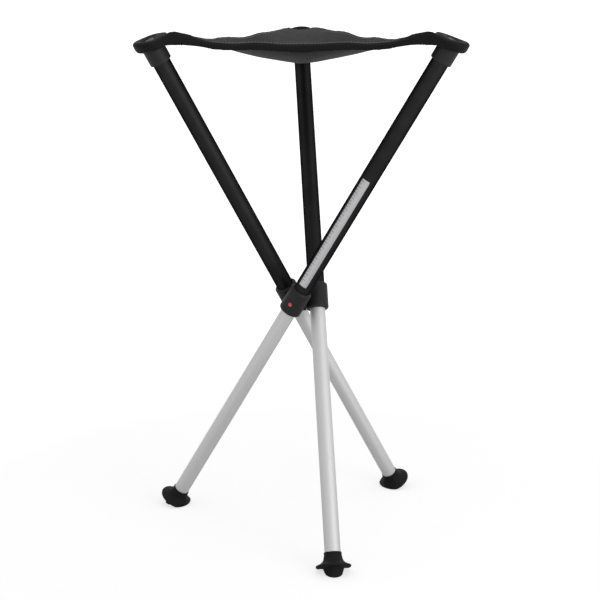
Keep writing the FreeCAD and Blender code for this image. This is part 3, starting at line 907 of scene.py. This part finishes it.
    def trim(self, piece: bpy.types.Object, point: Vector, normal: Vector) -> None:
        """Cuts a piece flat by a plane and keeps the side that the normal points away from.

        Args:
            piece: The piece.
            point: A point on the plane.
            normal: The plane's normal, towards what goes.
        """
        edit_whole(piece)
        bpy.ops.mesh.bisect(plane_co=point, plane_no=normal, use_fill=True, clear_outer=True,
                            threshold=0.000001)
        bpy.ops.object.mode_set(mode="OBJECT")

    def wrinkle(self, spot: Vector) -> float:
        """Height that folds and creases add to a point of the seat, in metres.

        Args:
            spot: The point in the row's frame.

        Returns:
            The added height.
        """
        height = 0.0
        flat = Vector((spot.x, spot.y - PLAN.axis_y, 0))
        (rise, middle, width), (lift, line, spread) = self.fan, self.across
        for leg in Leg:
            azimuth = math.radians(leg.corner)
            corner = Vector((math.cos(azimuth), math.sin(azimuth), 0)) * PLAN.corner_radius
            gap = flat - corner
            away = gap.length
            angle = math.atan2(gap.cross(-corner).z, gap.dot(-corner))
            height += rise * math.exp(-((away - middle) / width) ** 2) * math.cos(13 * angle + 0.4)
            height += lift * math.exp(-((away - line) / spread) ** 2) * math.cos(3 * angle) ** 2
        for (size, per_metre), layer in ((self.drift, 1.7), (self.fine, 5.1)):
            height += size * noise.noise(Vector((spot.x * per_metre, spot.y * per_metre, layer)))
        return height

    def front_share(self, spot: Vector) -> float:
        """Share from 1 at the front edge to 0 a few centimetres inside it."""
        inside = spot.y - PLAN.axis_y + PLAN.corner_radius / 2
        return fade(inside, *self.front_drape)

    def edge_lift(self, spot: Vector, free: float) -> float:
        """Height that the drape of each edge adds: the front one stands up and the back ones swag.

        Args:
            spot: The point in the row's frame.
            free: Share from 0 on a leg's top to 1 where the cloth hangs free.

        Returns:
            The added height.
        """
        inradius = PLAN.corner_radius / 2
        back = spot.y - PLAN.axis_y
        inside_back = inradius - abs(spot.x) * COS_30 - back * 0.5
        front = through(self.front_knots, self.half_edge - abs(spot.x)) * self.front_share(spot)
        behind = through(self.back_knots, spot.x) * fade(inside_back, *self.back_drape)
        return front + behind * free * clamp((back + inradius - 0.02) / 0.03)

    def finish_panel(self, panel: bpy.types.Object, leg: Leg, material: bpy.types.Material) -> None:
        """Wrinkles a piece of the seat and writes the map and attributes that its cloth reads.

        Args:
            panel: The piece, in the row's frame.
            leg: The leg whose corner it belongs to.
            material: The cloth.
        """
        inverse = PLAN.corner_matrix(leg).inverted()
        to_leg = PLAN.leg_matrix(leg).inverted()
        mesh = panel.data
        inward: list[float] = []
        along: list[float] = []
        for vertex in mesh.vertices:
            local = inverse @ vertex.co
            at_leg = to_leg @ vertex.co
            flat = Vector((PLAN.corner_radius - local.x, abs(local.y)))
            run = flat.x * COS_30 + flat.y * 0.5
            out = flat.y * COS_30 - flat.x * 0.5
            near = min(max(run, 0), self.half_edge)
            edge = self.hem_out(near) - out
            from_leg = math.hypot(at_leg.x, at_leg.y)
            on_roll = from_leg <= self.roll_reach
            inward.append(self.plain_inward if on_roll else min(edge, from_leg - self.patch))
            along.append(run)
            free = clamp((from_leg - self.roll_radius) / 0.02)
            low, high = self.hem_low(near), self.hem_top(near)
            share = max(clamp((local.z - low) / (high - low)), clamp((edge - self.hem_width) / 0.004))
            vertex.co.z += (self.wrinkle(vertex.co) * free + self.edge_lift(vertex.co, free) * share
                            + self.front_share(vertex.co) * (1 - share) * through(self.deep_knots, near))
        for name, values in (("inward", inward), ("along", along)):
            mesh.attributes.new(name, "FLOAT", "POINT").data.foreach_set("value", values)
        layer = mesh.uv_layers.new(name="cloth")
        for face in mesh.polygons:
            steep = abs(face.normal.z) < self.steep_below
            for loop in face.loop_indices:
                spot = mesh.vertices[mesh.loops[loop].vertex_index]
                layer.data[loop].uv = (along[spot.index], spot.co.z) if steep else (spot.co.x, spot.co.y)
        dress(panel, material)
        smooth(panel, 50)

    def build(self) -> None:
        """Builds the corner pieces, tying each to its leg, and the six panels."""
        material = self.cloth.build()
        sector = self.make_sector()
        for way in (1, -1):
            edge = math.radians(60 * way)
            self.trim(sector, Vector((0, 0, 0)), Vector((-math.sin(edge), math.cos(edge), 0)) * way)
        split = PLAN.corner_radius - self.split_inset
        for leg in Leg:
            inside = PLAN.corner_matrix(leg)
            corner = copy_piece(sector, f"seat_corner_{leg.number}", inside)
            facing = (inside.to_3x3() @ Vector((1, 0, 0))).normalized()
            seam = inside @ Vector((split, 0, 0))
            self.trim(corner, seam, -facing)
            self.finish_panel(corner, leg, material)
            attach(corner, f"leg_{leg.number}")
            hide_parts(f"seat_pocket_{leg.number}")
            for side in Side:
                way = 1 if side is Side.NEXT else -1
                panel = copy_piece(sector, f"seat_panel_{leg.number}{side.value}", inside)
                self.trim(panel, seam, facing)
                across = inside.to_3x3() @ Vector((0, -way, 0))
                self.trim(panel, inside @ Vector((0, 0, 0)), across)
                self.finish_panel(panel, leg, material)
                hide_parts(f"seat_cloth_{leg.number}{side.value}",
                            f"seat_hem_{leg.number}{side.value}")
                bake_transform(panel)
                log.info("built %s", panel.name)
            log.info("built %s", corner.name)
        bpy.data.objects.remove(sector)


@dataclass
class RubberFoot:
    """Rubber foot with a wide brim, pressed flat where it meets the floor."""

    rubber: MouldedPlastic = field(default_factory=lambda: MouldedPlastic(
        "black_rubber", "#131314", "#1c1c1d", roughness=0.66, grain=0.0011, depth=0.00009, ior=1.52,
        specular=0.2))
    rim_reach: float = 0.3879
    bore: float = 0.0118
    rim_radius: float = 0.0130
    neck_radius: float = 0.0143
    brim_radius: float = 0.0260
    sole_radius: float = 0.0153
    sole_low: float = 0.0108
    # how thick the bent brim stays over the floor, from its rim inwards, and how softly it bends
    brim_rim: float = 0.0004
    brim_root: float = 0.0032
    brim_soft: float = 0.0020
    sole_round: float = 0.0008
    flutes: int = 12
    flute_depth: float = 0.035

    def sections(self) -> list[tuple[float, float]]:
        """Radius and depth below the rim of each ring, from the socket's mouth to the sole."""
        rim, neck = self.rim_radius, self.neck_radius
        return [(self.bore, 0.010), (self.bore, 0.0), (rim - 0.0005, -0.0004), (rim, 0.0005),
                (rim + 0.0002, 0.0022), (rim - 0.0002, 0.0028), (neck - 0.0004, 0.0085),
                (neck + 0.0003, 0.0109), (0.0160, 0.0134), (0.0190, 0.0157), (0.0222, 0.0173),
                (0.0246, 0.0181), (0.0257, 0.0189), (self.brim_radius, 0.0200), (0.0256, 0.0213),
                (0.0244, 0.0221), (0.0205, 0.0219), (0.0168, 0.0222), (self.sole_radius, 0.0233),
                (0.0148, 0.0250), (0.0138, 0.0276), (0.0125, 0.0312), (0.0116, 0.0350),
                (self.sole_low, 0.0400)]

    def make(self) -> bpy.types.Object:
        """Models one foot upright under its leg, in the leg's frame.

        Returns:
            The foot.
        """
        begin_piece("rubber foot")
        rings = [(radius, -self.rim_reach - depth) for radius, depth in self.sections()]
        foot = extrude_rings("rubber_foot", rings, round_end=True)
        bpy.ops.mesh.normals_make_consistent(inside=False)
        bpy.ops.object.mode_set(mode="OBJECT")
        # shallow grooves down the side of the sole
        for vertex in foot.data.vertices:
            depth = -self.rim_reach - vertex.co.z
            if 0.0235 < depth < 0.039:
                angle = math.atan2(vertex.co.y, vertex.co.x)
                pull = 1 - self.flute_depth * max(0.0, math.cos(self.flutes * angle)) ** 4
                vertex.co.x *= pull
                vertex.co.y *= pull
        return foot

    def shape(self, foot: bpy.types.Object, leg: Leg) -> None:
        """Bends the brim up where it lies on the floor and cuts the sole level.

        Args:
            foot: The foot, in the row's frame.
            leg: The leg that it stands under.
        """
        to_leg = PLAN.leg_matrix(leg).inverted()
        soft = self.brim_soft
        for vertex in foot.data.vertices:
            depth = -self.rim_reach - (to_leg @ vertex.co).z
            if depth < 0.0225:
                least = self.brim_rim + self.brim_root * clamp((0.0213 - depth) / 0.0024)
                if vertex.co.z < least + soft:
                    vertex.co.z = least + soft * math.exp((vertex.co.z - least - soft) / soft)
        edit_whole(foot)
        bpy.ops.mesh.bisect(plane_co=(0, 0, 0), plane_no=(0, 0, 1), use_fill=True, clear_inner=True)
        bpy.ops.mesh.bevel(offset=self.sole_round, segments=3, affect="EDGES", clamp_overlap=True)
        bpy.ops.object.mode_set(mode="OBJECT")

    def build(self) -> None:
        """Builds the three feet."""
        material = self.rubber.build()
        first = self.make()
        for leg in Leg:
            foot = copy_piece(first, f"rubber_foot_{leg.number}", PLAN.leg_matrix(leg))
            self.shape(foot, leg)
            dress(foot, material)
            smooth(foot, 40)
            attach(foot, f"lower_leg_{leg.number}")
            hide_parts(f"foot_{leg.number}")
            log.info("built %s", foot.name)
        bpy.data.objects.remove(first)


@dataclass
class TickStrip:
    """Silver strip with plain tick marks along the camera side of one leg."""

    film: ScaleStrip = field(default_factory=ScaleStrip)
    radius: float = 0.01306
    thickness: float = 0.0002
    start: float = 0.035
    length: float = 0.194
    arc: float = 58.0
    turn: float = 3.1
    corner: float = 0.0005

    def build(self) -> None:
        """Builds the strip from a grid wrapped round the tube, with rounded corners."""
        begin_piece("tick strip")
        bpy.ops.mesh.primitive_grid_add(x_subdivisions=20, y_subdivisions=60, size=2)
        strip = named("tick_strip")
        width = self.radius * math.radians(self.arc)
        layer = strip.data.uv_layers.new(name="strip")
        spots: list[tuple[float, float]] = []
        for vertex in strip.data.vertices:
            across, along = (vertex.co.x + 1) / 2 * width, (vertex.co.y + 1) / 2 * self.length
            edge = min(along, self.length - along)
            if edge < self.corner:
                inset = self.corner - math.sqrt(max(0.0, self.corner ** 2 - (self.corner - edge) ** 2))
                across = inset + across / width * (width - 2 * inset)
            spots.append((across, along))
            angle = math.radians(self.turn - self.arc / 2) + across / self.radius
            vertex.co = (self.radius * math.cos(angle), self.radius * math.sin(angle), self.start + along)
        for loop in strip.data.loops:
            layer.data[loop.index].uv = spots[loop.vertex_index]
        apply_modifier(strip, "SOLIDIFY", thickness=self.thickness, offset=1.0)
        strip.data.transform(PLAN.leg_matrix(Leg.RIGHT))
        dress(strip, self.film.build())
        smooth(strip, 40)
        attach(strip, "leg_1")
        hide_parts("label_strip")
        log.info("built %s", strip.name)


@dataclass
class LegHardware:
    """Tubes, collars, caps, buttons and hub, whose solids are only given finishes, and the three springs."""

    black_tube: BlackCoatedTube = field(default_factory=BlackCoatedTube)
    silver_tube: SilverAnodisedTube = field(default_factory=SilverAnodisedTube)
    collar: MouldedPlastic = field(default_factory=lambda: MouldedPlastic(
        "black_nylon_collar", "#222223", "#28282a", roughness=0.50))
    cap: MouldedPlastic = field(default_factory=lambda: MouldedPlastic(
        "black_nylon_cap", "#252526", "#2b2b2d", roughness=0.52))
    plug: MouldedPlastic = field(default_factory=lambda: MouldedPlastic(
        "dark_grey_plug", "#303032", "#3a3a3d", roughness=0.36))
    button: MouldedPlastic = field(default_factory=lambda: MouldedPlastic(
        "red_acetal_button", "#e25c5a", "#ea716c", roughness=0.32, depth=0.00001, ior=1.48, specular=0.5))
    steel: ZincSteel = field(default_factory=ZincSteel)
    # how far from the leg's axis a spring's nose stands when its tube is slid in
    tucked_reach: float = 0.0116

    def make_spring(self, leg: Leg, steel: bpy.types.Material) -> None:
        """Makes a leg's lock spring a piece of its own, a copy of the solid hung on the lower leg.

        Args:
            leg: The leg.
            steel: The spring's material.
        """
        begin_piece("lock spring")
        name = f"bent_lock_spring_{leg.number}"
        spring = bpy.data.objects.new(name, frame["nodes"][f"lock_spring_{leg.number}"].data.copy())
        spring.data.name = name
        bpy.context.scene.collection.objects.link(spring)
        edit_whole(spring)
        bpy.ops.mesh.remove_doubles(threshold=0.000001)
        bpy.ops.object.mode_set(mode="OBJECT")
        press = next(joint for joint in frame["record"]["behaviour"]["joints"]
                     if joint["name"] == f"lock_button_{leg.number}_press")
        outwards = -Vector(press["axis"]).normalized()
        on_axis = PLAN.leg_matrix(leg).translation.dot(outwards)
        smooth(spring, 30)
        dress(spring, steel)
        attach(spring, f"lower_leg_{leg.number}")
        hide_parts(f"lock_spring_{leg.number}")
        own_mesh(spring)

    def build(self) -> None:
        """Gives every solid that stays its material and makes the springs."""
        black, steel = self.collar.build(), self.steel.build()
        finishes = {"collar": black, "inner_bush": black, "hub_core": black, "pivot_": steel,
                    "top_cap": self.cap.build(), "seat_plug": self.plug.build(),
                    "button": self.button.build()}
        for leg in Leg:
            dress(frame["nodes"][f"outer_tube_{leg.number}"], self.black_tube.build(leg))
            dress(frame["nodes"][f"inner_tube_{leg.number}"], self.silver_tube.build(leg))
            log.info("dressed the tubes of leg %s", leg.number)
            self.make_spring(leg, steel)
        for name, node in frame["nodes"].items():
            for prefix, finish in finishes.items():
                if name.startswith(prefix):
                    dress(node, finish)
                    log.info("dressed %s", name)


@dataclass(frozen=True)
class SoftLamp:
    """Square soft lamp: where it stands, the point it faces, its side in metres and its power in watts."""

    name: str
    place: tuple[float, float, float]
    aim: tuple[float, float, float]
    size: float
    power: float

    def build(self) -> None:
        """Adds the lamp."""
        data = bpy.data.lights.new(self.name, "AREA")
        data.energy = self.power
        data.size = self.size
        lamp = bpy.data.objects.new(self.name, data)
        bpy.context.scene.collection.objects.link(lamp)
        lamp.location = self.place
        lamp.rotation_euler = (Vector(self.aim) - Vector(self.place)).to_track_quat("-Z", "Y").to_euler()


@dataclass
class Studio:
    """White paper, soft lamps and the camera of the photograph."""

    lamps: tuple[SoftLamp, ...] = (
        SoftLamp("front_lamp", (1.2, -2.3, 2.3), (0, 0, 0.42), 2.6, 3),
        SoftLamp("right_lamp", (1.75, -1.8, 0.75), (0, 0, 0.25), 1.5, 16),
        SoftLamp("top_lamp", (0.0, 0.2, 2.6), (0, 0, 0.3), 2.4, 14))
    lens: float = 81.55
    sensor: float = 36.0
    clip_end: float = 60.0
    camera_at: tuple[float, float, float] = (-0.00654, -2.04780, 0.8249)
    aim_at: tuple[float, float, float] = (-0.0015, -0.01174, 0.3561)
    world_strength: float = 0.62
    paper_half_width: float = 6.0
    paper_length: float = 9.0
    paper_start: float = -3.0
    sweep_at: float = 5.2
    sweep_radius: float = 1.4

    def build(self) -> None:
        """Builds the paper, the lamps, the world and the camera."""
        begin_piece("backdrop")
        bpy.ops.mesh.primitive_grid_add(x_subdivisions=2, y_subdivisions=60, size=2)
        paper = named("paper_backdrop")
        for vertex in paper.data.vertices:
            run = (vertex.co.y + 1) * self.paper_length / 2
            turn = min(math.pi / 2, max(0.0, (run - self.sweep_at) / self.sweep_radius))
            past = max(0.0, run - self.sweep_at - self.sweep_radius * math.pi / 2)
            flat = min(run, self.sweep_at)
            vertex.co = (vertex.co.x * self.paper_half_width,
                         flat + self.paper_start + self.sweep_radius * math.sin(turn),
                         self.sweep_radius * (1 - math.cos(turn)) + past)
        smooth(paper, 60)
        dress(paper, WhitePaper().build())
        for lamp in self.lamps:
            lamp.build()
        world = bpy.data.worlds.new("studio_white")
        bpy.context.scene.world = world
        world.use_nodes = True
        tree = world.node_tree
        path = add_node(tree, "LightPath")
        strength = add_node(tree, "MapRange", Value=path.outputs["Is Camera Ray"],
                            To_Min=self.world_strength, To_Max=1.0)
        set_sockets(tree, tree.nodes["Background"], Color=(1, 1, 1, 1), Strength=strength.outputs["Result"])
        data = bpy.data.cameras.new("photo_camera")
        data.lens = self.lens
        data.sensor_width = self.sensor
        data.clip_end = self.clip_end
        camera = bpy.data.objects.new("photo_camera", data)
        bpy.context.scene.collection.objects.link(camera)
        camera.location = self.camera_at
        look = Vector(self.aim_at) - Vector(self.camera_at)
        camera.rotation_euler = look.to_track_quat("-Z", "Y").to_euler()
        bpy.context.scene.camera = camera
        bpy.context.scene.view_settings.view_transform = "Standard"


def main() -> None:
    """Builds the stool and its studio in order."""
    Studio().build()
    LegHardware().build()
    RubberFoot().build()
    TickStrip().build()
    SlingSeat().build()


if __name__ == "__main__":
    main()
